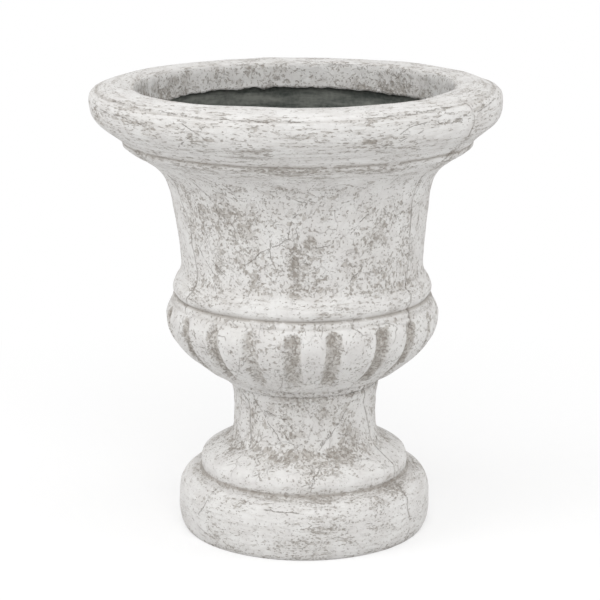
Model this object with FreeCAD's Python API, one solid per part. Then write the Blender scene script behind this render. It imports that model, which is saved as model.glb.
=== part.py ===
import FreeCAD, Part
import math
import os

from FreeCAD import Vector

# An urn planter made as two hollow castings, a bowl and a pedestal, bolted together on the axis.
# Millimetres. +Z is up along the urn's axis, and the origin is the centre of its foot, on the floor.
# Each casting has a white face coat outside and a dark fibre-cement backing behind it.

# --- driving dimensions: the wall ---
FACE_COAT = 9.0             # thickness of the white face coat
WALL = 15.0                 # face coat and backing together

# --- driving dimensions: heights ---
URN_HEIGHT = 577.5
PEDESTAL_TOP = 193.0
MORTAR_BED = 2.5
SEAT = PEDESTAL_TOP + MORTAR_BED        # underside of the bowl casting
BACKING_WEB = 9.5                       # backing under the floor disc
FLOOR_DISC = 17.0
FLOOR_LOW = SEAT + BACKING_WEB
FLOOR_TOP = FLOOR_LOW + FLOOR_DISC
CAP_THICKNESS = 22.0
CAP_LOW = PEDESTAL_TOP - CAP_THICKNESS
LIP_EDGE = 539.0                        # where the white return lip ends inside the mouth
ROLL_FILL_LOW = 512.0                   # where the fill of the rim stops and the wall's backing begins
TORUS_LOW = 307.5                       # crease under the torus, where the belly's coat ends
ROLL_LOW = 507.0                        # crease under the rolled rim, where the bell's coat ends

# --- driving dimensions: radii ---
RIM_RADIUS = 257.5
LIP_RADIUS = 199.5
LIP_THICKNESS = 7.0
UNDER_LIP_RADIUS = 205.5                # the dark wall stands back behind the lip
SEAT_RADIUS = 98.0
SEAT_COAT_INNER = 88.0                  # the face coat turns under as far as this, on the mortar
WELL_BOTTOM_STEP = 2.0                  # how far the well draws in under the floor disc's edge
PLINTH_RADIUS = 162.7
STEM_TOP_RADIUS = 95.0
FOOT_RIB_RADIUS = 132.0                 # inner face of the rib round the foot
MORTAR_RECESS = 1.2
MORTAR_BORE = 30.0

# --- driving dimensions: gadroons ---
LOBES = 20
LOBE_CROWN = 0.3                        # how far a lobe's middle stands out, in flute depths
FLUTE_SHARE = 0.34                      # width of a flute as a share of lobe and flute together
FIRST_FLUTE = -93.2                     # degrees about +Z; the front of the urn faces -Y

# --- driving dimensions: hoops, drains and bolt ---
HOOP_BAR = 8.0
RIM_HOOP_RADIUS = 228.0
RIM_HOOP_HEIGHT = 546.0
BASE_HOOP_RADIUS = 143.0
BASE_HOOP_HEIGHT = 12.0
DRAIN_OFFSET = 48.0                     # two drains, left and right of the bolt
DRAIN_SIDE = 25.0                       # each is a square tube
DRAIN_WALL = 2.5
DRAIN_DRIP = 6.0                        # how far each tube hangs below the pedestal cap
BOLT_RADIUS = 6.0                       # M12
BOLT_LENGTH = 75.0
BOLT_HOLE_RADIUS = 6.5
BOLT_HEAD = 7.5
HEX_ACROSS_FLATS = 18.0
PLATE_WASHER_RADIUS = 30.0
PLATE_WASHER = 3.0
SEAL_RADIUS = 25.0
SEAL = 2.0
SPRING_WASHER_RADIUS = 10.5
SPRING_WASHER = 2.5
SPRING_GAP = 3.0
NUT_HEIGHT = 10.8

AXIS = Vector(0, 0, 1)
CENTRE = Vector(0, 0, 0)
CLEAR = 20.0                            # how far a cutting solid runs past what it cuts


def at(point):
    """A point of a half section, given as (radius, height)."""
    radius, height = point
    return Vector(radius, 0, height)


def outline(start, *stretches):
    """Edges from start through each stretch: one point is a straight run, two are an arc
    through the first to the second, and more are one smooth curve through them all."""
    edges = []
    here = start
    for stretch in stretches:
        if len(stretch) == 1:
            edges.append(Part.LineSegment(at(here), at(stretch[0])).toShape())
        elif len(stretch) == 2:
            edges.append(Part.Arc(at(here), at(stretch[0]), at(stretch[1])).toShape())
        else:
            curve = Part.BSplineCurve()
            curve.interpolate([at(here)] + [at(point) for point in stretch])
            edges.append(curve.toShape())
        here = stretch[-1]
    return edges


def turned(start, *stretches):
    """The solid that a closed half section sweeps round the urn's axis."""
    wire = Part.Wire(outline(start, *stretches, [start]))
    return Part.Face(wire).revolve(CENTRE, AXIS, 360)


def inset(points, depth):
    """Points of a half section moved inwards, square to the run between their neighbours."""
    moved = []
    for index, (radius, height) in enumerate(points):
        before = points[max(index - 1, 0)]
        after = points[min(index + 1, len(points) - 1)]
        run = math.dist(before, after)
        inward = -(after[1] - before[1]) / run
        upward = (after[0] - before[0]) / run
        moved.append((radius + depth * inward, height + depth * upward))
    return moved


def disc(radius, low, high, x=0.0, y=0.0):
    return Part.makeCylinder(radius, high - low, Vector(x, y, low))


def ring(outer, inner, low, high):
    return disc(outer, low, high).cut(disc(inner, low - CLEAR, high + CLEAR))


def hoop(radius, height):
    return Part.makeTorus(radius, HOOP_BAR / 2, Vector(0, 0, height), AXIS)


def hexagon(low, height):
    """A hexagonal prism on the axis, across flats as the bolt's head and nut are."""
    corner = HEX_ACROSS_FLATS / math.sqrt(3)
    corners = [Vector(corner * math.cos(math.radians(60 * side)),
                      corner * math.sin(math.radians(60 * side)), low) for side in range(7)]
    return Part.Face(Part.makePolygon(corners)).extrude(Vector(0, 0, height))


def drain_solids(side, low, high):
    """A square prism for each of the two drains, with its sides along X and Y."""
    return [Part.makeBox(side, side, high - low, Vector(x - side / 2, -side / 2, low))
            for x in (-DRAIN_OFFSET, DRAIN_OFFSET)]


def drilled(shape):
    """The shape with the bolt's hole and the drain tubes' holes through it."""
    return shape.cut([disc(BOLT_HOLE_RADIUS, 0, URN_HEIGHT)]
                     + drain_solids(DRAIN_SIDE, 0, URN_HEIGHT))


# --- half sections of the bowl casting, from the seat up ---
BEAD_TOP = 201.5
BOWL_BEAD = [(100.4, 198.0), (99.4, BEAD_TOP)]
# The gadrooned belly: radius over the lobes, height, and depth of the flutes between them.
BELLY = [(104.0, BEAD_TOP, 0.8), (119.6, 209.7, 3.2), (135.6, 222.0, 4.8), (149.5, 234.0, 5.4),
         (160.3, 246.0, 5.6), (167.9, 258.0, 5.6), (172.2, 270.0, 5.4), (173.5, 280.0, 4.8),
         (171.7, 290.0, 3.0), (168.6, 296.0, 0.9), (166.6, 299.0, 0.3)]
BELLY_TOP = BELLY[-1][1]
FILLET_BAND = [(164.8, 305.0)]
TORUS_CREASE = [(161.0, TORUS_LOW)]
TORUS = [(164.6, 317.0), (156.2, 334.0)]
BELL = [(153.6, 345.0), (154.6, 366.0), (161.4, 420.0), (169.1, 456.0), (181.3, 474.0),
        (199.0, 487.5), (216.5, 498.5)]
COLLAR = [(220.2, 501.5)]
ROLL_CREASE = [(220.8, ROLL_LOW)]
ROLL_UNDERSIDE = [(231.5, 517.2), (243.5, 526.0)]
ROLL_CHEEK = [(253.8, 538.0), (RIM_RADIUS, 554.0)]
ROLL_BROW = [(254.6, 567.0), (244.5, 573.2)]
ROLL_CROWN = [(222.0, URN_HEIGHT), (206.0, 575.6)]
LIP_EDGE_ROUND = [(201.4, 573.4), (LIP_RADIUS, 569.0)]

# The rim's hollow behind the coat, from the bell's top round the roll to the back of the lip.
BEHIND_COLLAR = [(210.5, 505.5)]
BEHIND_CREASE = [(212.0, 511.0)]
BEHIND_UNDERSIDE = [(227.0, 524.5), (237.0, 532.0)]
BEHIND_CHEEK = [(245.5, 541.5), (248.5, 554.0)]
BEHIND_BROW = [(245.0, 561.5), (238.0, 565.0)]
BEHIND_CROWN = [(222.0, 568.5), (LIP_RADIUS + LIP_THICKNESS, 566.5)]
# The dark wall's curve from the top of the bell up to the set-back under the lip.
WELL_TOP = [(203.0, 513.0), (UNDER_LIP_RADIUS, 526.0)]

# The wall that both hidden faces follow: the bowl's outside without its creases.
BOWL_WALL = [(97.0, 196.0), (129.0, 216.0), (155.0, 240.0), (170.4, 264.0), (172.5, 284.0),
             (164.0, 308.0), (156.5, 334.0), (154.6, 366.0), (161.4, 420.0), (169.1, 456.0),
             (181.3, 474.0), (201.0, 489.0)]


def spoke(radius, height, angle):
    return Vector(radius * math.cos(angle), radius * math.sin(angle), height)


def lobed_ring(radius, height, depth):
    """The belly's outline at one height: a crowned arc over each lobe and a hollow arc
    through each flute, all round."""
    step = 2 * math.pi / LOBES
    half_flute = step * FLUTE_SHARE / 2
    shoulder = radius - LOBE_CROWN * depth
    edges = []
    for lobe in range(LOBES):
        flute = math.radians(FIRST_FLUTE) + lobe * step
        left = spoke(shoulder, height, flute - half_flute)
        right = spoke(shoulder, height, flute + half_flute)
        following = spoke(shoulder, height, flute + step - half_flute)
        hollow = spoke(radius - depth, height, flute)
        crown = spoke(radius, height, flute + step / 2)
        edges.append(Part.Arc(left, hollow, right).toShape())
        edges.append(Part.Arc(right, crown, following).toShape())
    return Part.Wire(edges)


def bowl_outside():
    """The bowl casting as a full solid, before its inside is cut."""
    bead = turned((0, SEAT), [(SEAT_RADIUS, SEAT)], BOWL_BEAD, [(0, BEAD_TOP)])
    belly = Part.makeLoft([lobed_ring(*station) for station in BELLY], True, False)
    above = turned((0, BELLY_TOP), [(BELLY[-1][0] + 0.4, BELLY_TOP)], FILLET_BAND, TORUS_CREASE,
                   TORUS, BELL, COLLAR, ROLL_CREASE, ROLL_UNDERSIDE, ROLL_CHEEK, ROLL_BROW,
                   ROLL_CROWN, LIP_EDGE_ROUND, [(LIP_RADIUS, LIP_EDGE)], [(0, LIP_EDGE)])
    return bead.fuse([belly, above])


def bowl_behind_facing():
    """Everything inside the face coat, with the hollow of the rolled rim."""
    coat = inset(BOWL_WALL, FACE_COAT)
    return turned((0, SEAT), [(SEAT_COAT_INNER, SEAT)], [coat[0]], coat[1:], BEHIND_COLLAR,
                  BEHIND_CREASE, BEHIND_UNDERSIDE, BEHIND_CHEEK, BEHIND_BROW, BEHIND_CROWN,
                  [(LIP_RADIUS + LIP_THICKNESS, LIP_EDGE)], [(0, LIP_EDGE)])


def planting_well():
    """The space for soil, from the top of the backing's web up through the mouth."""
    inner = inset(BOWL_WALL, WALL)
    mouth = URN_HEIGHT + CLEAR
    return turned((0, FLOOR_LOW), [(inner[0][0] - WELL_BOTTOM_STEP, FLOOR_LOW)], [inner[0]],
                  inner[1:], WELL_TOP, [(UNDER_LIP_RADIUS, LIP_EDGE)], [(LIP_RADIUS, LIP_EDGE)],
                  [(LIP_RADIUS, mouth)], [(0, mouth)])


def band(shape, low, high):
    """The part of a shape between two heights."""
    return shape.common(disc(RIM_RADIUS + CLEAR, low, high))


def bowl_casting():
    """The face coat in its three mouldings, the backing, the rim's fill and the floor disc,
    nested without overlap."""
    well = planting_well()
    behind = bowl_behind_facing()
    facing = bowl_outside().cut([behind, well])
    behind = behind.cut(well)
    fill = band(behind, ROLL_FILL_LOW, URN_HEIGHT).cut(hoop(RIM_HOOP_RADIUS, RIM_HOOP_HEIGHT))
    return {
        "belly_facing": band(facing, SEAT, TORUS_LOW),
        "bell_facing": band(facing, TORUS_LOW, ROLL_LOW),
        "rim_facing": band(facing, ROLL_LOW, URN_HEIGHT),
        "bowl_backing": drilled(band(behind, SEAT, ROLL_FILL_LOW)),
        "rim_fill": fill,
        "bowl_floor": drilled(band(well, FLOOR_LOW, FLOOR_TOP)),
    }


# --- half sections of the pedestal casting, from the floor up ---
PLINTH_SHOULDER = [(160.6, 56.0), (154.6, 67.0)]
PLINTH_TOP = [(147.5, 71.8), (137.0, 74.0)]
STEP_CREASE = [(133.4, 77.5)]
STEP_FACE = [(133.8, 89.0)]
STEP_SHOULDER = [(131.6, 95.2), (126.4, 99.3)]
STEP_TOP = [(111.8, 108.0)]
STEM_HOLLOW = [(98.5, 117.0), (92.3, 130.0)]
STEM = [(91.1, 160.0), (STEM_TOP_RADIUS, PEDESTAL_TOP)]

# The wall that both hidden faces follow: the pedestal's outside without its creases.
PEDESTAL_WALL = [(PLINTH_RADIUS, 45.0), (153.0, 66.0), (135.0, 84.0), (125.0, 99.0),
                 (104.0, 112.5), (93.0, 131.0), (91.1, 160.0), (STEM_TOP_RADIUS, PEDESTAL_TOP)]


def pedestal_outside():
    """The pedestal casting as a full solid, before its inside is cut."""
    return turned((0, 0), [(PLINTH_RADIUS, 0)], [(PLINTH_RADIUS, 45.0)], PLINTH_SHOULDER,
                  PLINTH_TOP, STEP_CREASE, STEP_FACE, STEP_SHOULDER, STEP_TOP, STEM_HOLLOW,
                  STEM, [(0, PEDESTAL_TOP)])


def pedestal_behind_facing():
    """Everything inside the face coat, open under the foot."""
    coat = inset(PEDESTAL_WALL, FACE_COAT)
    top = (coat[-1][0], PEDESTAL_TOP + CLEAR)
    return turned((0, -CLEAR), [(coat[0][0], -CLEAR)], [coat[0]], coat[1:], [top],
                  [(0, top[1])])


def pedestal_hollow():
    """The empty inside, narrower at the foot, where the backing has its rib."""
    inner = inset(PEDESTAL_WALL, WALL)
    top = (inner[-1][0], PEDESTAL_TOP + CLEAR)
    return turned((0, -CLEAR), [(FOOT_RIB_RADIUS, -CLEAR)],
                  [(FOOT_RIB_RADIUS, 2 * BASE_HOOP_HEIGHT)], [inner[0]], inner[1:], [top],
                  [(0, top[1])])


def pedestal_casting():
    """The face coat, the backing and the cap that closes the stem, nested without overlap."""
    hollow = pedestal_hollow()
    behind = pedestal_behind_facing()
    facing = pedestal_outside().cut(behind)
    backing = band(behind, 0, PEDESTAL_TOP).cut([hollow, hoop(BASE_HOOP_RADIUS, BASE_HOOP_HEIGHT)])
    cap = drilled(band(hollow, CAP_LOW, PEDESTAL_TOP))
    return {"pedestal_facing": facing, "pedestal_backing": backing, "pedestal_cap": cap}


def bedding_joint():
    """The bed of mortar that the bowl sits on, kept back a little from the face."""
    bed = ring(STEM_TOP_RADIUS - MORTAR_RECESS, MORTAR_BORE, PEDESTAL_TOP, SEAT)
    return drilled(bed)


def drain_tubes():
    """Two square tubes, flush with the floor of the well and open into the hollow pedestal."""
    tubes = drain_solids(DRAIN_SIDE, CAP_LOW - DRAIN_DRIP, FLOOR_TOP)
    bores = drain_solids(DRAIN_SIDE - 2 * DRAIN_WALL, 0, URN_HEIGHT)
    return Part.makeCompound([tube.cut(bores) for tube in tubes])


def bolt_assembly():
    """The bolt and what it clamps with, stacked down from the floor and up to the cap."""
    under_head = FLOOR_TOP + SEAL + PLATE_WASHER
    shank = disc(BOLT_RADIUS, under_head - BOLT_LENGTH, under_head)
    bolt = shank.fuse(hexagon(under_head, BOLT_HEAD)).removeSplitter()
    spring_top = CAP_LOW - PLATE_WASHER
    spring_low = spring_top - SPRING_WASHER
    split = Part.makeBox(SPRING_WASHER_RADIUS, SPRING_GAP, SPRING_WASHER,
                         Vector(0, -SPRING_GAP / 2, spring_low))
    nut_low = spring_low - NUT_HEIGHT
    return {
        "tie_bolt": bolt,
        "seal_washer": ring(SEAL_RADIUS, BOLT_RADIUS, FLOOR_TOP, FLOOR_TOP + SEAL),
        "upper_washer": ring(PLATE_WASHER_RADIUS, BOLT_HOLE_RADIUS, FLOOR_TOP + SEAL, under_head),
        "lower_washer": ring(PLATE_WASHER_RADIUS, BOLT_HOLE_RADIUS, spring_top, CAP_LOW),
        "spring_washer": ring(SPRING_WASHER_RADIUS, BOLT_HOLE_RADIUS, spring_low,
                              spring_top).cut(split),
        "tie_nut": hexagon(nut_low, NUT_HEIGHT).cut(disc(BOLT_RADIUS, 0, URN_HEIGHT)),
    }


def urn():
    """Every piece of the urn by its name."""
    pieces = {}
    pieces.update(bowl_casting())
    pieces.update(pedestal_casting())
    pieces.update(bolt_assembly())
    pieces["rim_hoop"] = hoop(RIM_HOOP_RADIUS, RIM_HOOP_HEIGHT)
    pieces["base_hoop"] = hoop(BASE_HOOP_RADIUS, BASE_HOOP_HEIGHT)
    pieces["drain_tubes"] = drain_tubes()
    pieces["bedding_joint"] = bedding_joint()
    return pieces


def main():
    os.makedirs("parts", exist_ok=True)
    for name, shape in urn().items():
        shape.exportStep("parts/" + name + ".step")
        print(name, "valid" if shape.isValid() else "NOT VALID", len(shape.Solids), "solid",
              round(shape.Volume / 1000), "cm3")


main()
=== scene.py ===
import math

import bpy
import numpy as np
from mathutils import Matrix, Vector


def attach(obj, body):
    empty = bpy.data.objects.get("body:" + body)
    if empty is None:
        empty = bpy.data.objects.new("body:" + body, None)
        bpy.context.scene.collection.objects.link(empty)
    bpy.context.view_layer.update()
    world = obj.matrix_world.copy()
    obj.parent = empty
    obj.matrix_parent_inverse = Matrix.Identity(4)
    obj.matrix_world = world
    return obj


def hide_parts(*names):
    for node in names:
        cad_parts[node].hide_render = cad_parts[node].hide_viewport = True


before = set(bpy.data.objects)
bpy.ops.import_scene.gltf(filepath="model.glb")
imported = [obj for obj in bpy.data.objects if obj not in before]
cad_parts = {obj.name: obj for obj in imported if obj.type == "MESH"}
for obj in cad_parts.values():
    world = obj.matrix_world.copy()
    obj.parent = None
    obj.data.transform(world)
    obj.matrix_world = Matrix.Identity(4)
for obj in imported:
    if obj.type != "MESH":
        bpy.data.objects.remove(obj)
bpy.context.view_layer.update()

# A whitewashed cast-stone urn planter. Outlines are half sections in millimetres, (radius, height)
# from the axis and the floor, as the castings are drawn; meshes are built in metres.
MM = 0.001

# ---------------------------------------------------------------- driving sizes, in millimetres
SEAT = 195.5                    # underside of the bowl casting
PEDESTAL_TOP = 193.0
WASHED_JOINT = 193.4            # the wash runs down over the mortar joint as far as this
BEAD_TOP = 201.5
BELLY_TOP = 299.0
RIM_TOP = 577.5
RIM_RADIUS = 257.5
LIP_RADIUS = 199.5
LIP_EDGE = 540.0                # mean height of the ragged lower edge of the white lip
LIP_HIGHEST = 188.0             # degrees from the front where that edge is highest
LIP_BACK = 206.5
UNDER_LIP_RADIUS = 205.5
ROLL_FILL_LOW = 512.0
FLOOR_LOW = 205.0
SEAT_COAT = 88.0                # inner radius of the coat under the seat
WEB_RADIUS = 64.0               # the backing turns inwards as far as this, clear of the drains
PLINTH_RADIUS = 162.7
PLINTH_FOOT = 156.0             # where its rounded lower edge meets the floor
STEM_TOP_RADIUS = 95.0
FACE_COAT = 9.0
WALL = 15.0
JOINT_RADIUS = 94.1             # inner radius of the wash brushed over the mortar joint
AROUND = 456                    # steps round the axis of the white coats
LINING_AROUND = 300             # the same for the dark shells behind them
LINE_REACH = 9.0                # distances from cracks and seams are kept up to this
LIP_WEAR = 1 / 3                # how thin the wash has worn inside the lip
BRUSH_RADIUS = 200.0            # brush marks are noise on a drum this wide
BRUSH_PACE = 5.0                # and this many times finer along the outline than round it

# Where the flutes were cut, in degrees from the front, growing to the right.
FLUTES = (-167.0, -149.0, -131.0, -113.0, -94.5, -76.0, -57.0, -39.5, -22.0, -4.0,
          12.8, 34.5, 50.8, 67.0, 85.0, 103.0, 121.0, 139.0, 157.0, 175.0)
FLUTE_DEPTH = 5.0
FLUTE_HALF_WIDTH = 10.5
BOWL_SHIFT = -2.3               # how far the bowl was set off the pedestal's middle, along X
LEAN = -9.7                     # how much further over the rim sits than the bowl's foot
LEAN_START = 330.0
RIM_TIP = 1.0                   # how much higher the rim's right edge is, and lower its left
RIM_SAG = 1.1                   # how far the top of the rim lies under its drawn height
STEM_SHIFT = 0.9                # how far the stem leans to the right


# ---------------------------------------------------------------- outlines
def smooth_through(points, rows):
    """A curve through the points as `rows` steps of (radius, height): cubic Hermite pieces by
    chord length, each point's tangent running along its two neighbours."""
    points = np.array(points, float)
    chord = np.concatenate([[0], np.cumsum(np.hypot(*np.diff(points, axis=0).T))])
    tangent = np.gradient(points, chord, axis=0)
    at = np.linspace(0, chord[-1], rows + 1)
    piece = np.clip(np.searchsorted(chord, at, side="right") - 1, 0, len(chord) - 2)
    span = chord[piece + 1] - chord[piece]
    t = ((at - chord[piece]) / span)[:, None]
    span = span[:, None]
    return ((2 * t**3 - 3 * t**2 + 1) * points[piece] + (t**3 - 2 * t**2 + t) * span * tangent[piece]
            + (3 * t**2 - 2 * t**3) * points[piece + 1] + (t**3 - t**2) * span * tangent[piece + 1])


def joined(*stretches):
    """One outline from stretches that share their end points, each given as (points, rows)."""
    runs = [smooth_through(points, rows) for points, rows in stretches]
    return np.concatenate([runs[0]] + [run[1:] for run in runs[1:]])


def inset(points, depth):
    """Points of an outline moved inwards, square to the run between their neighbours."""
    points = np.array(points, float)
    run = np.concatenate([points[1:], points[-1:]]) - np.concatenate([points[:1], points[:-1]])
    run /= np.hypot(*run.T)[:, None]
    return points + depth * np.stack([-run[:, 1], run[:, 0]], axis=1)


BOWL_WALL = [(97.0, 196.0), (129.0, 216.0), (155.0, 240.0), (170.4, 264.0), (172.5, 284.0),
             (164.0, 308.0), (156.5, 334.0), (154.6, 366.0), (161.4, 420.0), (169.1, 456.0),
             (181.3, 474.0), (201.0, 489.0)]
PEDESTAL_WALL = [(PLINTH_RADIUS, 45.0), (153.0, 66.0), (135.0, 84.0), (125.0, 99.0),
                 (104.0, 112.5), (93.0, 131.0), (91.1, 160.0), (STEM_TOP_RADIUS, PEDESTAL_TOP)]


def bowl_face_outline():
    """The bowl's white coat, from the lip's lower edge over the rim, down to the seat and back
    up behind it. The first rows, up to the returned count, are the outside."""
    outside = joined(
        ([(LIP_RADIUS, LIP_EDGE), (LIP_RADIUS, 568.0)], 9),
        ([(LIP_RADIUS, 568.0), (201.4, 573.2), (206.0, 575.6)], 4),
        ([(206.0, 575.6), (222.0, RIM_TOP), (236.0, 575.8), (246.5, 572.2)], 13),
        ([(246.5, 572.2), (254.4, 567.2), (257.0, 561.0), (RIM_RADIUS, 554.0), (256.4, 545.0),
          (253.8, 538.0), (249.2, 531.2), (243.5, 526.0), (231.5, 517.2), (220.8, 507.0)], 32),
        ([(220.8, 507.0), (220.2, 501.5)], 2),
        ([(220.2, 501.5), (216.5, 498.5), (199.0, 487.5), (181.3, 474.0), (172.6, 463.0),
          (169.1, 456.0), (165.2, 444.0), (161.4, 420.0), (156.6, 385.0), (154.6, 366.0),
          (153.6, 350.0), (154.2, 341.0), (156.2, 334.0)], 66),
        ([(156.2, 334.0), (160.9, 327.0), (164.2, 320.0), (164.7, 313.5), (161.0, 307.5)], 12),
        ([(161.0, 307.5), (164.9, 305.0), (166.6, BELLY_TOP)], 4),
        ([(166.6, BELLY_TOP), (168.9, 296.0), (171.8, 290.0), (173.5, 280.0), (172.2, 270.0),
          (167.9, 258.0), (160.3, 246.0), (149.5, 234.0), (135.6, 222.0), (119.6, 209.7),
          (106.0, 203.0), (101.0, BEAD_TOP)], 46),
        ([(101.0, BEAD_TOP), (100.6, 198.0), (98.6, SEAT), (96.0, WASHED_JOINT)], 6))
    coat = inset(BOWL_WALL, FACE_COAT)
    hidden = joined(
        ([(96.0, WASHED_JOINT), (JOINT_RADIUS, WASHED_JOINT)], 1),
        ([(JOINT_RADIUS, WASHED_JOINT), (JOINT_RADIUS, SEAT)], 1),
        ([(JOINT_RADIUS, SEAT), (SEAT_COAT, SEAT)], 1), ([(SEAT_COAT, SEAT), coat[0]], 1),
        # A row at each point of the hidden face: longer steps cut across the belly's bulge and
        # come through the backing.
        *((coat[at:at + 2], 1) for at in range(len(coat) - 1)),
        ([coat[-1], (210.5, 505.5), (227.0, 524.5), (245.5, 541.5), (248.5, 554.0), (238.0, 565.0),
          (222.0, 568.5), (LIP_BACK, 566.5)], 8),
        ([(LIP_BACK, 566.5), (LIP_BACK, LIP_EDGE)], 1))
    return np.concatenate([outside, hidden[1:]]), len(outside)


def pedestal_face_outline():
    """The pedestal's white coat, from the joint down the stem to the floor and back up behind."""
    outside = joined(
        ([(STEM_TOP_RADIUS, PEDESTAL_TOP), (94.4, 188.0), (92.2, 177.0), (91.1, 160.0),
          (91.6, 142.0), (92.5, 129.0), (98.2, 117.0), (111.8, 108.0)], 40),
        ([(111.8, 108.0), (126.4, 99.3), (131.6, 95.2), (133.8, 89.0), (133.4, 77.5)], 24),
        ([(133.4, 77.5), (137.0, 74.0)], 2),
        ([(137.0, 74.0), (147.5, 71.8), (154.6, 67.0), (160.6, 56.0), (162.6, 45.0)], 22),
        ([(162.6, 45.0), (PLINTH_RADIUS, 27.0), (162.0, 18.0), (160.6, 10.5), (158.6, 4.5),
          (PLINTH_FOOT, 0.0)], 22))
    coat = inset(PEDESTAL_WALL, FACE_COAT)
    hidden = joined(
        ([(PLINTH_FOOT, 0.0), (coat[0][0], 0.0)], 1), ([(coat[0][0], 0.0), coat[0]], 2), (coat, 8),
        ([coat[-1], (coat[-1][0], PEDESTAL_TOP)], 1))
    return np.concatenate([outside, hidden[1:]]), len(outside)


# ---------------------------------------------------------------- numbers spread over a surface
def lumps(points, size, seed):
    """Smooth random lumps about `size` across, from -1 to 1: random values on a cubic lattice,
    blended along each axis by a smooth step."""
    rng = np.random.default_rng(seed)
    side = 64
    lattice = rng.uniform(-1, 1, (side, side, side))
    place = points / size + rng.uniform(0, side, 3)
    cell = np.floor(place).astype(int)
    blend = place - cell
    blend = blend * blend * (3 - 2 * blend)
    total = 0.0
    for dx, dy, dz in np.ndindex(2, 2, 2):
        corner = lattice[(cell[..., 0] + dx) % side, (cell[..., 1] + dy) % side,
                         (cell[..., 2] + dz) % side]
        total = total + corner * (np.abs(1 - dx - blend[..., 0]) * np.abs(1 - dy - blend[..., 1])
                                  * np.abs(1 - dz - blend[..., 2]))
    return total


def step(low, high, value):
    """0 below low, 1 above high, and a smooth rise between them."""
    t = np.clip((value - low) / (high - low), 0, 1)
    return t * t * (3 - 2 * t)


def near(value, centre, width):
    """1 at the centre, falling off as a bell of that half width."""
    return np.exp(-((value - centre) / width) ** 2)


def turn(degrees):
    """Degrees brought into the half turn either side of the front."""
    return (degrees + 180.0) % 360.0 - 180.0


# ---------------------------------------------------------------- the castings' own marks
# Lines where the parts of the mould met: points along each as (degrees from the front, height).
SEAMS = (
    ((54, 568), (55, 552), (54.5, 536), (56, 520), (56, 508), (52, 500), (54, 478), (55.5, 470),
     (56.5, 454), (56.5, 434), (57, 414), (57.5, 398), (58.8, 380), (58.5, 363), (57.5, 346),
     (54.6, 332), (56, 326), (53, 306), (51.5, 290)),
    ((-71, 569), (-70, 556), (-66, 530), (-63.5, 508), (-62, 490), (-62.5, 480), (-61.5, 470),
     (-62.5, 458), (-64, 440), (-62, 430), (-59.5, 420), (-59, 402), (-60, 384), (-59, 371),
     (-58, 352), (-57.5, 338), (-58, 326), (-61, 316), (-62, 305), (-60, 290)),
    ((180, 568), (178, 540), (181, 500), (179, 440), (182, 380), (179, 320), (181, 280)),
    ((51, 196), (55, 184), (54, 175), (60, 155), (64, 133), (64, 117), (60.5, 104), (60, 91),
     (59.5, 75), (54, 70), (55, 60), (54, 45), (56, 30), (56, 17), (54.5, 4)),
    ((-61, 191), (-57.5, 186), (-51.5, 178), (-50, 166), (-50.5, 148), (-49, 137), (-47, 122)),
    ((180, 190), (178, 150), (181, 120), (179, 90), (182, 50), (180, 4)),
)

# Cracks and scratches in the whitewash: points along each as (degrees from the front, height).
CRACKS = (
    ((3.5, 457), (1, 446), (-2.5, 437)),
    ((-61, 572), (-50, 571.3), (-42, 571), (-34.5, 569.7), (-29.5, 568.9), (-25, 567.8),
     (-19.5, 567), (-11.5, 566.8), (1.5, 566.3)),
    ((18, 568), (28, 568.4), (33, 568.6), (38.5, 569.7), (42.5, 570.4), (47, 570.4)),
    ((40.5, 555), (44, 554.6), (48, 553.4), (52.5, 554)),
    ((-52.5, 381), (-50, 371), (-44, 353), (-44, 340.5), (-40.5, 329)),
    ((-44.5, 469), (-42.5, 460), (-39.5, 452.5), (-37, 435)),
    ((-49.5, 69), (-50.5, 59.5), (-51.5, 51), (-54.5, 40)),
    ((-60.5, 25.5), (-56, 21.5), (-50.5, 17.5)),
    ((40, 192), (39, 186), (35, 171), (30, 159), (23.5, 147), (17.5, 135.5), (12.5, 126)),
    ((-4.5, 432), (-5.5, 409), (-11.5, 400), (-18, 391), (-24, 377), (-27, 372)),
    ((-13.5, 400), (-14, 381), (-11, 376)),
    ((-3, 384), (2.5, 377)), ((2, 385), (-2, 377)),
    ((-2, 418), (0, 398), (-0.5, 384)),
    ((-33, 420), (-30.5, 409)), ((-44.5, 371), (-38.5, 358)), ((3.5, 405), (6.5, 397), (11, 400)),
    ((30.5, 455), (37, 441), (44.5, 427), (49.5, 432), (53, 450)),
    ((31, 386), (26, 364), (17, 343)),
    ((21.5, 417), (29, 434)), ((-4, 463), (1, 455), (3.5, 458)),
    ((-29.5, 558), (-24.5, 545)), ((-33, 532), (-28, 545)),
    ((22, 534), (25.5, 534.5), (27.5, 538), (30, 542), (34, 548)),
    ((26, 546), (30, 552.5), (34.5, 558), (45.5, 556.5), (55.5, 557.5), (62, 562), (70.5, 566)),
    ((-69, 560), (-60, 556), (-52, 557), (-44, 552)),
    ((-43.5, 187.5), (-40.5, 177), (-35, 166), (-29.5, 153), (-24, 143.7), (-21.5, 137)),
    ((-32, 169), (-28, 168), (-24, 166), (-20, 163), (-16.5, 162)),
    ((-19.5, 150), (-17, 143), (-14.5, 139)),
    ((20, 144), (16, 138), (12, 130)),
    ((-19.5, 64), (-11, 63.5), (-3.5, 63)),
    ((2, 95), (6, 100), (9, 104)), ((0, 90), (4, 92), (5, 96)), ((3, 88), (5, 92)),
    ((135, 452), (139, 430), (146, 418), (150, 396), (147, 380)),
    ((-120, 446), (-127, 428), (-124, 405), (-131, 388)),
    ((-150, 180), (-158, 160), (-154, 138)),
    ((105, 176), (112, 158), (108, 140)),
    ((160, 62), (172, 60), (181, 63)), ((118, 556), (131, 559), (142, 555)),
    ((-100, 420), (-92, 405), (-95, 392)), ((-170, 548), (-158, 551), (-147, 548)),
    ((85, 440), (90, 420), (99, 411)), ((-80, 180), (-86, 164), (-83, 150)),
)


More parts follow.
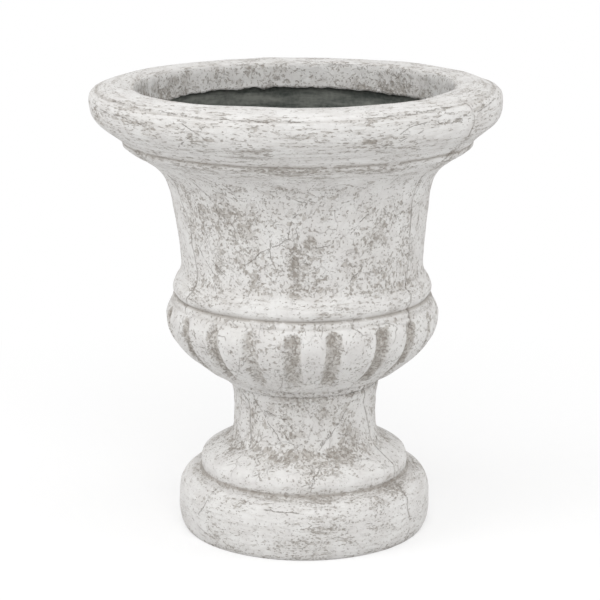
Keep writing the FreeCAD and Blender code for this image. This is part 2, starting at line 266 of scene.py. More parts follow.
def nearest_line(lines, angle, height, radius, bare):
    """(side, away), in millimetres: the signed distance across the nearest of the lines, which
    reads sharply between coarse vertices, and the plain distance from its nearest point. Both
    stay at LINE_REACH beyond it, and where `bare` says that no line runs."""
    side = np.full(angle.shape, LINE_REACH)
    away = np.full(angle.shape, LINE_REACH)
    for line in lines:
        for (a0, z0), (a1, z1) in zip(line[:-1], line[1:]):
            x = np.radians(turn(angle - a0)) * radius
            y = height - z0
            dx = math.radians(a1 - a0) * radius
            dy = z1 - z0
            length = np.hypot(dx, dy)
            along = np.clip((x * dx + y * dy) / length**2, 0, 1)
            gap = np.hypot(x - along * dx, y - along * dy)
            closer = (gap < away) & ~bare
            side = np.where(closer, (x * dy - y * dx) / length, side)
            away = np.where(closer, gap, away)
    return side, away


# Places where the whitewash has worn thin: (degrees from the front, height, half width, half
# height, strength), with the height and both halves in millimetres.
WORN = (
    (-31, 432, 34, 26, 0.9), (-22, 412, 30, 18, 0.6), (-8, 444, 22, 16, 0.5), (4, 404, 9, 12, 1.3),
    (13, 401, 9, 10, 0.9), (-3, 392, 12, 16, 0.6), (-28, 378, 26, 14, 0.7), (-12, 372, 16, 10, 0.7),
    (-40, 366, 14, 26, 0.6), (-3, 366, 8, 24, 0.9), (6, 362, 7, 16, 0.7), (-22, 356, 8, 14, 0.7),
    (-48, 440, 16, 22, 0.7), (36, 412, 26, 30, 0.5), (45, 440, 18, 18, 0.6), (24, 366, 20, 20, 0.6),
    (-56, 400, 10, 60, 0.6), (54, 400, 12, 60, 0.8), (38, 366, 20, 26, 0.6), (0, 346, 60, 6, 0.5),
    (-6, 501, 60, 5, 0.9), (-30, 497, 26, 6, 0.7), (26, 499, 36, 5, 0.7), (56, 503, 9, 14, 1.2),
    (-2, 470, 60, 7, 0.5), (-60, 503, 20, 8, 0.8), (-30, 542, 30, 8, 0.6), (-46, 552, 22, 8, 0.7),
    (3, 548, 22, 5, 0.6), (-12, 530, 40, 5, 0.6), (40, 556, 46, 5, 0.7), (30, 534, 46, 6, 0.7),
    (-70, 552, 20, 10, 0.7), (20, 540, 14, 6, 0.8), (-55, 320, 14, 10, 0.5), (20, 318, 30, 5, 0.4),
    (-14, 150, 20, 30, 0.6), (18, 168, 14, 18, 0.9), (34, 152, 16, 30, 0.9), (44, 130, 14, 14, 0.6),
    (-44, 160, 10, 26, 0.7), (-2, 116, 24, 10, 0.9), (26, 116, 20, 9, 0.9), (-18, 112, 14, 8, 0.8),
    (6, 101, 26, 6, 0.6), (-6, 180, 20, 8, 0.8), (10, 70, 30, 5, 0.5), (34, 64, 34, 8, 0.8),
    (50, 72, 18, 7, 1.1), (-30, 66, 30, 5, 0.6), (-46, 30, 10, 12, 0.8), (14, 44, 30, 9, 0.5),
    (-4, 24, 46, 8, 0.5), (32, 40, 22, 10, 0.5), (120, 410, 50, 40, 0.8), (90, 380, 30, 40, 0.5),
    (-140, 400, 50, 45, 0.8), (-95, 420, 30, 40, 0.6), (170, 430, 40, 40, 0.7), (150, 150, 30, 30, 0.8),
    (-100, 118, 30, 14, 0.8), (-170, 120, 30, 14, 0.7), (100, 62, 50, 9, 0.7), (-160, 60, 60, 9, 0.7),
    (140, 545, 50, 9, 0.7), (-120, 548, 50, 9, 0.7), (-95, 160, 16, 26, 0.6), (85, 150, 20, 30, 0.7),
    (120, 502, 60, 6, 0.7), (-110, 500, 50, 6, 0.8), (180, 500, 50, 6, 0.7), (-60, 110, 16, 8, 0.6),
)


def worn_places(angle, height, radius):
    """The worn places added up as soft ellipses."""
    total = 0.0
    for place, level, wide, tall, strength in WORN:
        across = np.radians(turn(angle - place)) * radius
        total = total + strength * np.exp(-((across / wide) ** 2 + ((height - level) / tall) ** 2))
    return np.minimum(total, 1.6)


# ---------------------------------------------------------------- the turned shells
def flutes_at(angle, height, radius):
    """(depth, dirt) of the flutes: depth is 1 along the middle of each trough and 0 over the
    lobes, and dirt fills each from its rounded top down. Their widths and dirt differ a little
    from one to the next, as hand-cut ones do."""
    number = np.abs(turn(angle[..., None] - np.array(FLUTES))).argmin(axis=-1)
    across = np.radians(turn(angle - np.array(FLUTES)[number])) * radius
    half_width = FLUTE_HALF_WIDTH * (1 + 0.14 * np.sin(number * 7.1)) * (radius / 173.0) ** 0.5
    inward = np.abs(across) / half_width
    top = 296.5 - 5.0 * np.clip(inward, 0, 1.5) ** 2
    along = step(203.0, 232.0, height) * (1 - step(-8.0, 0.0, height - top))
    trough = np.clip(1 - inward**2, 0, 1)
    shoulder = near(inward, 1.25, 0.3)
    dirt = trough ** 0.4 * step(207.0, 226.0, height) * (1 - step(-3.0, 1.0, height - top))
    return (trough - 0.16 * shoulder) * along, dirt * (0.9 + 0.25 * np.sin(number * 5.3))


def ring_grid(outline, around):
    """Points of an outline swept round the axis: arrays (rows, around) of angle in degrees from
    the front, radius and height."""
    angle = np.linspace(-180, 180, around, endpoint=False)[None, :] + 0 * outline[:, :1]
    return angle, outline[:, :1] + 0 * angle, outline[:, 1:] + 0 * angle


def outline_normals(outline):
    """Unit vectors square to the outline, pointing out of a wall drawn with its solid side to
    the left as the outline runs: out of the coat on both faces."""
    closed = np.concatenate([outline[-1:], outline, outline[:1]])
    run = closed[2:] - closed[:-2]
    run /= np.maximum(np.hypot(*run.T), 1e-9)[:, None]
    return np.stack([-run[:, 1], run[:, 0]], axis=1)


def leaning(height):
    """How far a height of the hand-cast bowl sits to the side of the foot's axis."""
    over = np.clip((height - LEAN_START) / (RIM_TOP - LEAN_START), 0, 1)
    return BOWL_SHIFT + LEAN * over ** 1.6


def set_as_cast(points, height):
    """Points of the bowl as it really stands: leaning, with its rim a little tipped."""
    points[..., 0] += leaning(height)
    points[..., 2] += RIM_TIP * step(480, 560, height) * points[..., 0] / RIM_RADIUS
    points[..., 2] -= RIM_SAG * step(560, 577, height)
    return points


def on_axis(angle, radius, height):
    """Points in millimetres for angles from the front, growing to the right."""
    turned = np.radians(angle)
    return np.stack([radius * np.sin(turned), -radius * np.cos(turned), height], axis=-1)


def closed_ring_mesh(name, points):
    """A mesh from a (rows, around, 3) grid of points that is closed both ways."""
    rows, around, _ = points.shape
    row = np.arange(rows)[:, None]
    column = np.arange(around)[None, :]
    below = (row + 1) % rows
    right = (column + 1) % around
    corners = np.stack([row * around + column, below * around + column,
                        below * around + right, row * around + right], axis=-1).reshape(-1)
    mesh = bpy.data.meshes.new(name)
    faces = rows * around
    mesh.vertices.add(rows * around)
    mesh.vertices.foreach_set("co", (points * MM).reshape(-1))
    mesh.loops.add(faces * 4)
    mesh.loops.foreach_set("vertex_index", corners)
    mesh.polygons.add(faces)
    mesh.polygons.foreach_set("loop_start", np.arange(0, faces * 4, 4))
    mesh.polygons.foreach_set("loop_total", np.full(faces, 4))
    mesh.update()
    mesh.validate()
    mesh.shade_smooth()
    piece = bpy.data.objects.new(name, mesh)
    bpy.context.scene.collection.objects.link(piece)
    return piece


def mark(piece, name, values):
    """Stores one number for each vertex, for the material to read."""
    attribute = piece.data.attributes.new(name, "FLOAT", "POINT")
    attribute.data.foreach_set("value", values.astype(np.float32).reshape(-1))


def cast_shell(name, outline, outside_rows, around, shaped, placed):
    """A white coat: the outline turned round the axis, moved along its normals by the unevenness
    of hand casting and by what `shaped` gives, marked for its finish and its painted shade, and
    `placed` as it stands."""
    angle, radius, height = ring_grid(outline, around)
    normal = outline_normals(outline)
    run = np.concatenate([[0], np.cumsum(np.hypot(*np.diff(outline, axis=0).T))])[:, None]
    outside = (np.arange(len(outline)) < outside_rows)[:, None]
    points = on_axis(angle, radius, height)
    brushed_way = on_axis(angle, BRUSH_RADIUS, BRUSH_PACE * run + 0 * angle)
    uneven = (0.6 * lumps(points, 90, 1) + 0.36 * lumps(points, 38, 2) + 0.2 * lumps(points, 15, 3)
              + 0.1 * lumps(points, 7, 4))
    brush = 0.55 * lumps(brushed_way, 55, 5) + 0.35 * lumps(brushed_way, 26, 6)
    in_mouth = (radius < LIP_BACK) & (height > LIP_EDGE - 10)
    crack_side, crack_away = nearest_line(CRACKS, angle, height, radius, in_mouth)
    seam_side, seam_away = nearest_line(SEAMS, angle, height, radius, in_mouth)
    worn = worn_places(angle, height, radius) + LIP_WEAR * in_mouth
    chipped = step(0.5, 0.9, 0.6 * worn + 0.5 * lumps(points, 11, 7) + 0.35 * lumps(points, 5, 8))
    push, drop, recess_dirt_and_shade, crease_shade, brushed = shaped(angle, radius, height, points)
    push = push + uneven + brush * brushed - 0.2 * chipped
    push = push - 1.1 * near(seam_away, 0, 1.8) + 0.5 * near(seam_away, 4.5, 2.5)
    push = push * outside * step(0.0, 3.0, height)
    radius = radius + push * normal[:, :1]
    height = height + push * normal[:, 1:] + drop
    piece = closed_ring_mesh(name, placed(on_axis(angle, radius, height), height))
    # Among these marks is painted shade: darker recesses and darker creases.
    for mark_name, values in (("worn", worn), ("recess_dirt_and_shade", recess_dirt_and_shade), ("crease_shade", crease_shade),
                              ("brushed", brushed), ("crack_side", crack_side),
                              ("crack_near", 1 - step(2.5, 6.0, crack_away)),
                              ("seam_side", seam_side), ("seam_near", 1 - step(2.5, 6.0, seam_away)),
                              ("run", run * MM + 0 * angle)):
        mark(piece, mark_name, values)
    return piece


def bowl_marks(angle, radius, height, points):
    """(push, drop, recess dirt and shade, crease shade, brushed) of the bowl's own forms: flutes
    between the lobes, a brow line round the rim, runs of wash down the lip and its ragged lower
    edge, dirt in the flutes, painted shade in the creases and grooves under the rim, over and
    under the torus, at the bead and along the brow line, and where a brush was drawn round."""
    depth, dirt = flutes_at(angle, height, radius)
    on_belly = (height < BELLY_TOP) & (height > BEAD_TOP)
    inside_lip = (radius < 201.0) & (height < 572.0) & (height > 530.0)
    level = 566.3 + 5.0 * np.minimum(np.abs(angle) / 56.0, 1) ** 2
    brow = near(height, level, 1.3) * (radius > 240)
    below_brow = step(245, 250, radius) * (1 - step(-1, 1, height - level)) * step(520, 540, height)
    runs = lumps(points * (1, 1, 0.22), 11, 23) + 0.6 * lumps(points * (1, 1, 0.4), 5, 24)
    ragged = 1.7 * lumps(points, 21, 25) + 1.0 * lumps(points, 8, 26)
    ragged = ragged - 4.0 * step(18, 52, np.abs(turn(angle - LIP_HIGHEST)))
    drop = ragged * near(height, LIP_EDGE, 7.0) * (radius < LIP_BACK + 1)
    # Dirt in the flutes, and painted shade in the grooves over and under the torus, under the rim, at the
    # bead and along the brow.
    recess_dirt_and_shade = (0.9 * dirt * on_belly + 0.25 * near(height, 302.0, 3.5) * (radius < 170)
              + 0.25 * near(height, 504.0, 5.0) * (radius > 205) + 0.3 * near(height, 338.0, 7.0)
              + 0.4 * near(height, 200.0, 4.0) + 0.3 * brow)
    # Painted shade: narrow dark lines in the creases under the rim and at the torus, and along the brow
    # line.
    crease_shade = (near(height, 507.0, 1.8) * (radius > 215) + near(height, 307.3, 1.8) * (radius < 170)
              + 0.4 * near(height, 299.6, 1.2) * (radius > 160) + 0.4 * brow)
    brushed = np.where(height > 484, 1.0, 0.3) * (1 - 0.8 * inside_lip)
    brushed = np.maximum(brushed, 0.9 * near(height, 322.0, 18.0)) * (height > BELLY_TOP)
    push = -FLUTE_DEPTH * depth * on_belly - 0.9 * brow + 0.5 * below_brow + 1.1 * runs * inside_lip
    return push, drop, recess_dirt_and_shade, crease_shade, brushed


def pedestal_marks(angle, radius, height, points):
    """(push, drop, recess shade, crease shade, brushed) of the pedestal: painted shade in the
    crease over the plinth, in the fillet at the stem's foot, at the joint under the bowl and
    along the foot where it meets the floor."""
    # Painted shade in the crease over the plinth, at the stem's foot, at the joint under the bowl and along
    # the foot at the floor.
    recess_dirt_and_shade = (0.45 * near(height, 75.5, 4.0) + 0.3 * near(height, 116.0, 9.0) * (radius < 115)
              + 0.4 * near(height, 191.0, 4.0) + 0.3 * near(height, 2.0, 4.0))
    # Painted shade: a narrow dark line in the crease over the plinth.
    crease_shade = near(height, 76.8, 2.0)
    brushed = 0.25 + 0.45 * (1 - step(86.0, 96.0, height))
    return 0.0 * angle, 0.0 * angle, recess_dirt_and_shade, crease_shade, brushed


def set_on_floor(points, height):
    """Points of the pedestal as it stands under the bowl."""
    points[..., 0] += STEM_SHIFT * step(75, 130, height)
    return points


def bowl_face():
    """The bowl's white coat in one piece, for the three nodes of it."""
    outline, outside = bowl_face_outline()
    piece = cast_shell("bowl_face_coat", outline, outside, AROUND, bowl_marks, set_as_cast)
    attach(piece, "root")
    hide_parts("belly_facing", "bell_facing", "rim_facing")
    return piece


def pedestal_face():
    """The pedestal's white coat, from the mortar joint to the floor."""
    outline, outside = pedestal_face_outline()
    piece = cast_shell("pedestal_face_coat", outline, outside, AROUND, pedestal_marks, set_on_floor)
    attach(piece, "root")
    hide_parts("pedestal_facing")
    return piece


# ---------------------------------------------------------------- the dark inside
def laid_up_shell(name, outline, around, roughness):
    """A shell of fibre cement pressed on by hand: the outline turned round the axis, with
    horizontal trowel smears and lumps pushed along its normals."""
    angle, radius, height = ring_grid(outline, around)
    normal = outline_normals(outline)
    points = on_axis(angle, radius, height)
    smears = lumps(points * (1, 1, 6), 70, 31) + 0.5 * lumps(points * (1, 1, 6), 30, 32)
    push = roughness * (0.5 * smears + 0.5 * lumps(points, 18, 33) + 0.3 * lumps(points, 8, 34))
    radius = radius + push * normal[:, :1]
    height = height + push * normal[:, 1:]
    piece = closed_ring_mesh(name, set_as_cast(on_axis(angle, radius, height), height))
    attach(piece, "root")
    return piece


def bowl_backing():
    """The dark lining of the well, with the web that it makes under the floor disc."""
    inner = inset(BOWL_WALL, WALL)
    coat = inset(BOWL_WALL, FACE_COAT + 0.6)
    outline = joined(
        ([(203.0, ROLL_FILL_LOW), (199.0, 507.0), (inner[-1][0], inner[-1][1])], 6),
        (inner[::-1], 60),
        ([inner[0], (inner[0][0] - 2.0, FLOOR_LOW)], 1),
        ([(inner[0][0] - 2.0, FLOOR_LOW), (WEB_RADIUS, FLOOR_LOW)], 3),
        ([(WEB_RADIUS, FLOOR_LOW), (WEB_RADIUS, SEAT + 0.2)], 1),
        ([(WEB_RADIUS, SEAT + 0.2), (SEAT_COAT - 1.0, SEAT + 0.2)], 2),
        ([(SEAT_COAT - 1.0, SEAT + 0.2), coat[0]], 1), (coat, 12),
        ([coat[-1], (209.5, 506.5), (211.0, ROLL_FILL_LOW)], 3),
        ([(211.0, ROLL_FILL_LOW), (203.0, ROLL_FILL_LOW)], 2))[:-1]
    piece = laid_up_shell("bowl_backing_layer", outline, LINING_AROUND, 1.0)
    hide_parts("bowl_backing")
    return piece


def rim_packing():
    """The dark mix packed inside the rolled rim, which shows under the lip."""
    tucked = (202.6, ROLL_FILL_LOW - 2.5)       # behind the backing's upper edge, so no gap shows
    outline = joined(
        ([(UNDER_LIP_RADIUS, LIP_EDGE + 5.0), (UNDER_LIP_RADIUS, 526.0), tucked], 16),
        ([tucked, (212.0, ROLL_FILL_LOW)], 2),
        ([(212.0, ROLL_FILL_LOW), (227.0, 526.0), (244.0, 542.5), (247.0, 554.0), (237.0, 563.5),
          (222.0, 567.0), (208.0, 565.0)], 16),
        ([(208.0, 565.0), (208.0, LIP_EDGE + 5.0)], 2),
        ([(208.0, LIP_EDGE + 5.0), (UNDER_LIP_RADIUS, LIP_EDGE + 5.0)], 1))[:-1]
    piece = laid_up_shell("rim_packing_ring", outline, LINING_AROUND, 0.8)
    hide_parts("rim_fill")
    return piece


# ---------------------------------------------------------------- materials
def linear(hex_colour):
    """An sRGB hex colour as linear red, green, blue and alpha."""
    parts = [int(hex_colour[i:i + 2], 16) / 255 for i in (1, 3, 5)]
    return [part / 12.92 if part <= 0.04045 else ((part + 0.055) / 1.055) ** 2.4
            for part in parts] + [1.0]


def add(tree, kind, inputs=None, **settings):
    """Adds a node with its settings, and links or values by input name or number."""
    made = tree.nodes.new(kind)
    for name, value in settings.items():
        setattr(made, name, value)
    for key, value in (inputs or {}).items():
        if isinstance(value, bpy.types.NodeSocket):
            tree.links.new(value, made.inputs[key])
        else:
            made.inputs[key].default_value = value
    return made


def per_mm(size):
    """Noise scale that makes features about that many millimetres across."""
    return 1000.0 / size


def bare_material(name):
    """A new material with nothing in it but its output."""
    material = bpy.data.materials.new(name)
    material.use_nodes = True
    tree = material.node_tree
    tree.nodes.clear()
    output = add(tree, "ShaderNodeOutputMaterial")
    return material, tree, output


def whitewashed_cast_stone():
    """Cast stone brushed with whitewash and rubbed back: matt, chalky white over taupe-grey
    stone that shows in grainy patches, specks, hollows and along fine cracks, with painted shade
    darkening its creases, recesses and the bell's front under the rim, and a painted highlight
    on raised flecks."""
    material, tree, output = bare_material("whitewashed_cast_stone")
    place = add(tree, "ShaderNodeTexCoord").outputs["Object"]

    def number(operation, *values):
        return add(tree, "ShaderNodeMath", dict(enumerate(values)), operation=operation).outputs[0]

    def vector(operation, *values):
        return add(tree, "ShaderNodeVectorMath", dict(enumerate(values)),
                   operation=operation).outputs[0]

    def noise(where, size, detail=3.0, rough=0.55, warp=0.0):
        return add(tree, "ShaderNodeTexNoise", {"Vector": where, "Scale": per_mm(size), "Detail": detail,
                                                "Roughness": rough, "Distortion": warp}).outputs["Fac"]

    def rise(value, low, high, top=1.0):
        return add(tree, "ShaderNodeMapRange", {"Value": value, "From Min": low, "From Max": high,
                                                "To Max": top},
                   interpolation_type="SMOOTHSTEP").outputs["Result"]

    def stored(name):
        return add(tree, "ShaderNodeAttribute", attribute_name=name).outputs["Fac"]

    def blend(factor, low, high):
        return add(tree, "ShaderNodeMix", {"Factor": factor, "A": low, "B": high},
                   data_type="RGBA").outputs["Result"]

    # Where the brush went round: a circle about the axis and the distance along the outline.
    level = vector("NORMALIZE", vector("MULTIPLY", place, (1.0, 1.0, 0.0)))
    along = add(tree, "ShaderNodeCombineXYZ", {"Z": number("MULTIPLY", stored("run"), 9.0)}).outputs[0]
    swept = add(tree, "ShaderNodeVectorMath", {0: level, 1: (0.2, 0.2, 0.2), 2: along},
                operation="MULTIPLY_ADD").outputs[0]
    streaks = noise(swept, 42.0, 5.0, 0.62, 0.3)
    flat_way = vector("MULTIPLY", swept, (1.0, 1.0, 0.27))
    brushed = stored("brushed")
    drawn = rise(brushed, 0.35, 0.75)

    def either(size, detail, rough, warp, longer):
        """A noise in the round, giving way to one drawn out along the brush where it went."""
        return number("ADD", number("MULTIPLY", noise(place, size, detail, rough, warp),
                                    number("SUBTRACT", 1.0, drawn)),
                      number("MULTIPLY", noise(flat_way, size * longer, detail, rough, warp), drawn))

    # How near the wash is to gone, from the worn places, dirt and painted shade in recesses, streaks
    # and broad clusters.
    clusters = noise(place, 44.0, 4.0, 0.65)
    gone = number("MULTIPLY_ADD", stored("worn"), 0.100, number("MULTIPLY", stored("recess_dirt_and_shade"), 0.13))
    gone = number("MULTIPLY_ADD", clusters, 0.26, gone)
    gone = number("MULTIPLY_ADD", number("SUBTRACT", streaks, 0.5),
                  number("MULTIPLY", brushed, 0.28), gone)
    gone = number("SUBTRACT", gone, 0.147)
    # A soft veil, partly grime and partly painted shade on the bell under the rim; grime, also
    # painted shade in recesses; grainy patches 6 to 20 mm across, sharp blots, and specks of 1 to 3 mm.
    veil_of_shade_and_grime = rise(number("MULTIPLY_ADD", noise(place, 40.0, 4.0, 0.6), 0.3, gone), 0.08, 0.30)
    grime_and_recess_shade = number("SUBTRACT", noise(place, 12.0, 6.0, 0.68), 0.5)
    grime_and_recess_shade = number("MULTIPLY_ADD", grime_and_recess_shade, 1.6, stored("recess_dirt_and_shade"))
    grime_and_recess_shade = rise(grime_and_recess_shade, 0.45, 0.70)
    thin = rise(number("ADD", either(15.0, 6.0, 0.70, 0.4, 1.3), gone), 0.57, 0.625)
    blots = rise(number("ADD", either(9.0, 4.5, 0.64, 0.5, 1.3), gone), 0.603, 0.618)
    specks = rise(number("MULTIPLY_ADD", gone, 0.9, either(3.4, 2.0, 0.5, 0.4, 1.5)), 0.612, 0.628)
    grain = noise(place, 2.0, 2.0, 0.7)
    # Painted highlight: paler flecks of wash, which the bump below also raises.
    raised_flecks_and_highlight = rise(number("MULTIPLY_ADD", gone, 0.8, noise(place, 4.2, 3.0, 0.6, 0.8)), 0.58, 0.64)
    # Hair lines, which follow the level lines of a swirling noise in the worn places.
    bare = number("SUBTRACT", 1.0, brushed)
    hair = number("ABSOLUTE", number("SUBTRACT", noise(place, 20.0, 2.5, 0.5, 0.5), 0.5))
    hair = number("MULTIPLY", number("SUBTRACT", 1.0, rise(hair, 0.002, 0.009)),
                  rise(number("MULTIPLY_ADD", gone, 1.0, noise(place, 19.0, 2.0)), 0.51, 0.58))
    # Fine crackle: the edges of warped cells 34 mm across, shown in stretches.
    bent = add(tree, "ShaderNodeTexNoise", {"Vector": place, "Scale": per_mm(22.0),
                                            "Detail": 2.0}).outputs["Color"]
    bent = add(tree, "ShaderNodeVectorMath", {0: bent, 1: (0.02, 0.02, 0.02), 2: place},
               operation="MULTIPLY_ADD").outputs[0]
    cells = add(tree, "ShaderNodeTexVoronoi", {"Vector": bent, "Scale": per_mm(34.0)},
                feature="DISTANCE_TO_EDGE").outputs["Distance"]
    crackle = number("SUBTRACT", 1.0, rise(cells, 0.006, 0.024))
    crackle = number("MULTIPLY", crackle, rise(noise(place, 34.0, 2.0), 0.53, 0.58))
    # Cracks and mould seams, read from signed distances across them.
    ragged = number("MULTIPLY", number("SUBTRACT", noise(place, 16.0, 5.0, 0.7), 0.5), 9.0)
    crack = number("ABSOLUTE", number("ADD", stored("crack_side"), ragged))
    crack = number("MULTIPLY", number("SUBTRACT", 1.0, rise(crack, 0.1, 0.8)),
                   rise(stored("crack_near"), 0.3, 0.8))
    crack = number("MULTIPLY", crack, rise(noise(place, 11.0, 2.0), 0.38, 0.54))
    seam = number("ABSOLUTE", number("MULTIPLY_ADD", ragged, 0.5, stored("seam_side")))
    seam = number("MULTIPLY", number("SUBTRACT", 1.0, rise(seam, 0.4, 1.6)),
                  rise(stored("seam_near"), 0.3, 0.8))
    seam = number("MULTIPLY", seam, rise(noise(place, 14.0, 3.0), 0.30, 0.50, 0.85))
    # Painted shade in the creases, broken up by noise.
    crease_shade = number("MULTIPLY", stored("crease_shade"), rise(noise(place, 14.0, 4.0, 0.65), 0.27, 0.45))
    fine = number("MULTIPLY", number("MAXIMUM", crackle, hair), number("MULTIPLY", bare, 0.7))
    line = number("MAXIMUM", number("MAXIMUM", crack, seam), fine)

    wash = blend(rise(noise(place, 26.0, 5.0, 0.65), 0.36, 0.64), linear("#D9D7D5"), linear("#E1E0DE"))
    wash = blend(number("MULTIPLY", rise(streaks, 0.47, 0.62), number("MULTIPLY", brushed, 0.4)),
                 wash, linear("#CBC8C4"))
    # Painted shade: a soft grey veil, strongest over the worn places on the bell's front under the rim;
    # partly grime.
    wash = blend(number("MULTIPLY", veil_of_shade_and_grime, 0.45), wash, linear("#C6C2BD"))
    # Grime, and painted shade where it follows the recesses.
    wash = blend(number("MULTIPLY", grime_and_recess_shade, 0.5), wash, linear("#BCB7B0"))
    stone = blend(rise(noise(place, 5.0, 5.0, 0.7), 0.35, 0.65), linear("#A49E97"), linear("#BCB7B1"))
    colour = blend(number("MULTIPLY", thin, 0.42), wash, stone)
    # Painted highlight on the raised flecks.
    colour = blend(number("MULTIPLY", raised_flecks_and_highlight, 0.25), colour, linear("#EEEDEC"))
    colour = blend(number("MULTIPLY", blots, 0.7), colour, stone)
    colour = blend(number("MULTIPLY", specks, 0.68), colour, linear("#958E86"))
    # Painted shade in the creases.
    colour = blend(number("MULTIPLY", crease_shade, 0.8), colour, linear("#948D85"))
    colour = blend(number("MULTIPLY", line, 0.64), colour, linear("#837C74"))
    # Worn places lie a few tenths of a millimetre below the wash, which ends in raised edges.
    relief = number("MULTIPLY", streaks, number("MULTIPLY", brushed, 1.2))
    relief = number("MULTIPLY_ADD", raised_flecks_and_highlight, 0.35, relief)
    for depth, worn_off in ((0.25, thin), (0.35, blots), (0.4, specks), (1.0, line)):
        relief = number("MULTIPLY_ADD", worn_off, -depth, relief)
    relief = number("MULTIPLY_ADD", grain, 0.25, relief)
    bump = add(tree, "ShaderNodeBump", {"Strength": 0.85, "Distance": 0.9 * MM, "Height": relief})
    shader = add(tree, "ShaderNodeBsdfPrincipled", {"Base Color": colour, "Roughness": 0.9,
                                                    "Specular IOR Level": 0.25,
                                                    "Normal": bump.outputs["Normal"]})
    tree.links.new(shader.outputs["BSDF"], output.inputs["Surface"])
    return material


def dark_fibre_cement():
    """Grey-green fibre cement left as it was pressed on: matt, smeared level by hand, with
    paler dry ridges and darker damp-looking hollows."""
    material, tree, output = bare_material("dark_fibre_cement")
    place = add(tree, "ShaderNodeTexCoord").outputs["Object"]
    smeared = add(tree, "ShaderNodeVectorMath", {0: place, 1: (1.0, 1.0, 7.0)},
                  operation="MULTIPLY").outputs[0]
    broad = add(tree, "ShaderNodeTexNoise", {"Vector": smeared, "Scale": per_mm(70.0), "Detail": 6.0,
                                             "Roughness": 0.6}).outputs["Fac"]
    fine = add(tree, "ShaderNodeTexNoise", {"Vector": place, "Scale": per_mm(5.0),
                                            "Detail": 4.0}).outputs["Fac"]
    mixed = add(tree, "ShaderNodeMath", {0: broad, 1: 0.75}, operation="MULTIPLY").outputs[0]
    mixed = add(tree, "ShaderNodeMath", {0: fine, 1: 0.25, 2: mixed}, operation="MULTIPLY_ADD").outputs[0]
    spread = add(tree, "ShaderNodeMapRange", {"Value": mixed, "From Min": 0.38,
                                              "From Max": 0.64}).outputs["Result"]
    colour = add(tree, "ShaderNodeMix", {"Factor": spread, "A": linear("#3A3F3B"), "B": linear("#7A7C76")},
                 data_type="RGBA").outputs["Result"]
    bump = add(tree, "ShaderNodeBump", {"Strength": 0.6, "Distance": 1.2 * MM, "Height": mixed})
    shader = add(tree, "ShaderNodeBsdfPrincipled", {"Base Color": colour, "Roughness": 0.85,
                                                    "Normal": bump.outputs["Normal"]})
    tree.links.new(shader.outputs["BSDF"], output.inputs["Surface"])
    return material


def plain_finish(name, hex_low, hex_high, size, roughness, metallic, depth):
    """A finish that varies between two colours over that many millimetres, with a fine grain."""
    material, tree, output = bare_material(name)
    place = add(tree, "ShaderNodeTexCoord").outputs["Object"]
    cloud = add(tree, "ShaderNodeTexNoise", {"Vector": place, "Scale": per_mm(size),
                                             "Detail": 5.0}).outputs["Fac"]
    spread = add(tree, "ShaderNodeMapRange", {"Value": cloud, "From Min": 0.35,
                                              "From Max": 0.65}).outputs["Result"]
    colour = add(tree, "ShaderNodeMix", {"Factor": spread, "A": linear(hex_low), "B": linear(hex_high)},
                 data_type="RGBA").outputs["Result"]
    bump = add(tree, "ShaderNodeBump", {"Strength": 0.5, "Distance": depth * MM, "Height": cloud})
    shader = add(tree, "ShaderNodeBsdfPrincipled", {"Base Color": colour, "Roughness": roughness,
                                                    "Metallic": metallic, "Normal": bump.outputs["Normal"]})
    tree.links.new(shader.outputs["BSDF"], output.inputs["Surface"])
    return material


def dress(names, material):
    """Gives a finish to CAD nodes by name."""
    for name in names:
        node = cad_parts[name]
        node.data.materials.clear()
        node.data.materials.append(material)


# ---------------------------------------------------------------- studio, in metres
FLOOR_SIZE = 30.0
SHADOW_SHARE = 0.5              # how far the floor near the urn is lit, and not glowing white
SHADOW_NEAR = 0.30              # from here, measured from the axis, that share fades
SHADOW_FAR = 1.0                # to nothing here
SKY_LIGHT = 0.72                # strength of the sky as a light; seen directly it is white
LAMP_TARGET = (0.0, 0.0, 0.30)
# Square lamps: (name, place, side, watts).
LAMPS = (("key", (-2.2, -1.0, 1.9), 1.6, 22.0), ("side", (2.5, -0.2, 1.3), 1.4, 12.0),
         ("front", (0.2, -2.8, 2.3), 1.8, 20.0), ("high", (0.1, -1.5, 2.3), 1.0, 7.0),
         ("top", (0.0, 0.0, 3.0), 2.0, 1.5))


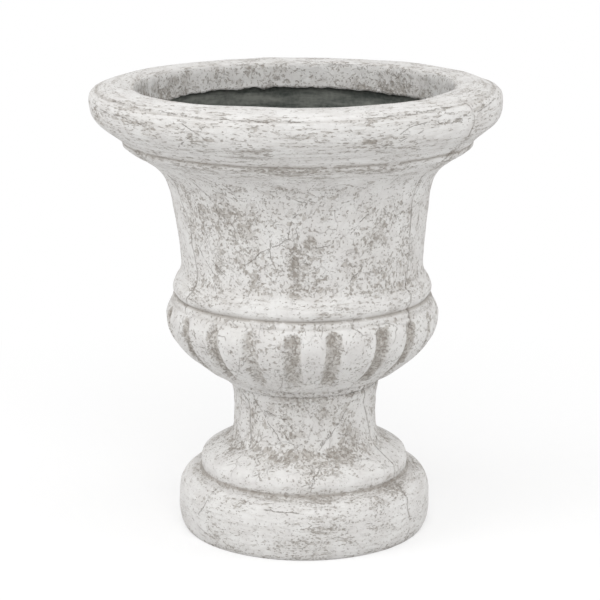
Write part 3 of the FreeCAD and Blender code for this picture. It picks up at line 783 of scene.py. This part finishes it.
def studio():
    """A white sweep that keeps a soft contact shadow, and soft lights."""
    bpy.ops.mesh.primitive_plane_add(size=FLOOR_SIZE, location=(0, 0, 0))
    floor = bpy.context.object
    floor.name = "floor"
    material, tree, output = bare_material("white_floor")
    light_path = add(tree, "ShaderNodeLightPath")
    seen = add(tree, "ShaderNodeMath", {0: light_path.outputs["Is Camera Ray"],
                                        1: light_path.outputs["Is Glossy Ray"]},
               operation="MAXIMUM").outputs[0]
    diffuse = add(tree, "ShaderNodeBsdfDiffuse", {"Color": linear("#E2E2E2")})
    white = add(tree, "ShaderNodeBsdfDiffuse", {"Color": linear("#FEFEFE")})
    glow = add(tree, "ShaderNodeEmission", {"Color": (1, 1, 1, 1), "Strength": 1.0})
    place = add(tree, "ShaderNodeTexCoord").outputs["Object"]
    distance = add(tree, "ShaderNodeVectorMath", {0: place}, operation="LENGTH").outputs["Value"]
    shade = add(tree, "ShaderNodeMapRange", {"Value": distance, "From Min": SHADOW_NEAR,
                                             "From Max": SHADOW_FAR, "To Min": SHADOW_SHARE,
                                             "To Max": 0.0}).outputs["Result"]
    soft = add(tree, "ShaderNodeMixShader", {0: shade, 1: glow.outputs[0], 2: white.outputs[0]})
    both = add(tree, "ShaderNodeMixShader", {0: seen, 1: diffuse.outputs[0], 2: soft.outputs[0]})
    tree.links.new(both.outputs[0], output.inputs["Surface"])
    floor.data.materials.append(material)

    world = bpy.data.worlds.new("studio")
    bpy.context.scene.world = world
    world.use_nodes = True
    sky = world.node_tree
    sky.nodes.clear()
    path = add(sky, "ShaderNodeLightPath")
    seen = add(sky, "ShaderNodeMath", {0: path.outputs["Is Camera Ray"], 1: path.outputs["Is Glossy Ray"]},
               operation="MAXIMUM").outputs[0]
    seen = add(sky, "ShaderNodeMath", {0: seen, 1: path.outputs["Is Transmission Ray"]},
               operation="MAXIMUM").outputs[0]
    strength = add(sky, "ShaderNodeMapRange", {"Value": seen, "To Min": SKY_LIGHT,
                                               "To Max": 1.0}).outputs["Result"]
    back = add(sky, "ShaderNodeBackground", {"Color": (1, 1, 1, 1), "Strength": strength})
    add(sky, "ShaderNodeOutputWorld", {"Surface": back.outputs[0]})

    for name, place, size, watts in LAMPS:
        lamp = bpy.data.lights.new(name, "AREA")
        lamp.energy = watts
        lamp.size = size
        light = bpy.data.objects.new(name, lamp)
        bpy.context.scene.collection.objects.link(light)
        light.location = place
        look(light, LAMP_TARGET)


def look(thing, target):
    """Turns a light or camera so that it points at the target."""
    way = Vector(target) - Vector(thing.location)
    thing.rotation_euler = way.to_track_quat("-Z", "Y").to_euler()


CAMERA_PLACE = (-0.0053, -2.577, 0.9427)
CAMERA_PITCH = math.radians(14.114)
CAMERA_LENS = 124.5             # millimetres, as is the width of the sensor
CAMERA_SENSOR = 36.0


def camera():
    """The camera that took the photograph, as fitted to the urn's rim, torus and plinth."""
    lens = bpy.data.cameras.new("camera")
    lens.lens = CAMERA_LENS
    lens.sensor_width = CAMERA_SENSOR
    view = bpy.data.objects.new("camera", lens)
    bpy.context.scene.collection.objects.link(view)
    view.location = CAMERA_PLACE
    view.rotation_euler = (math.pi / 2 - CAMERA_PITCH, 0, 0)
    bpy.context.scene.camera = view


# ---------------------------------------------------------------- putting it together
camera()
studio()
stone = whitewashed_cast_stone()
cement = dark_fibre_cement()
for coat in (bowl_face(), pedestal_face()):
    coat.data.materials.append(stone)
for lining in (bowl_backing(), rim_packing()):
    lining.data.materials.append(cement)
dress(("pedestal_backing", "bowl_floor", "pedestal_cap"), cement)
dress(("bedding_joint",), plain_finish("lime_mortar", "#8F8A82", "#B5B0A8", 4.0, 0.95, 0.0, 0.4))
dress(("rim_hoop", "base_hoop"),
      plain_finish("mild_steel_bar", "#4A3A30", "#6E6560", 8.0, 0.6, 0.8, 0.2))
dress(("tie_bolt", "upper_washer", "lower_washer", "spring_washer", "tie_nut"),
      plain_finish("zinc_plated_steel", "#A9ADAF", "#C4C7C8", 6.0, 0.35, 1.0, 0.05))
dress(("seal_washer",), plain_finish("black_rubber", "#17181A", "#26282A", 5.0, 0.8, 0.0, 0.1))
dress(("drain_tubes",), plain_finish("grey_pvc_tube", "#6A7074", "#7C8286", 12.0, 0.45, 0.0, 0.05))

bpy.context.scene.view_settings.view_transform = "Standard"
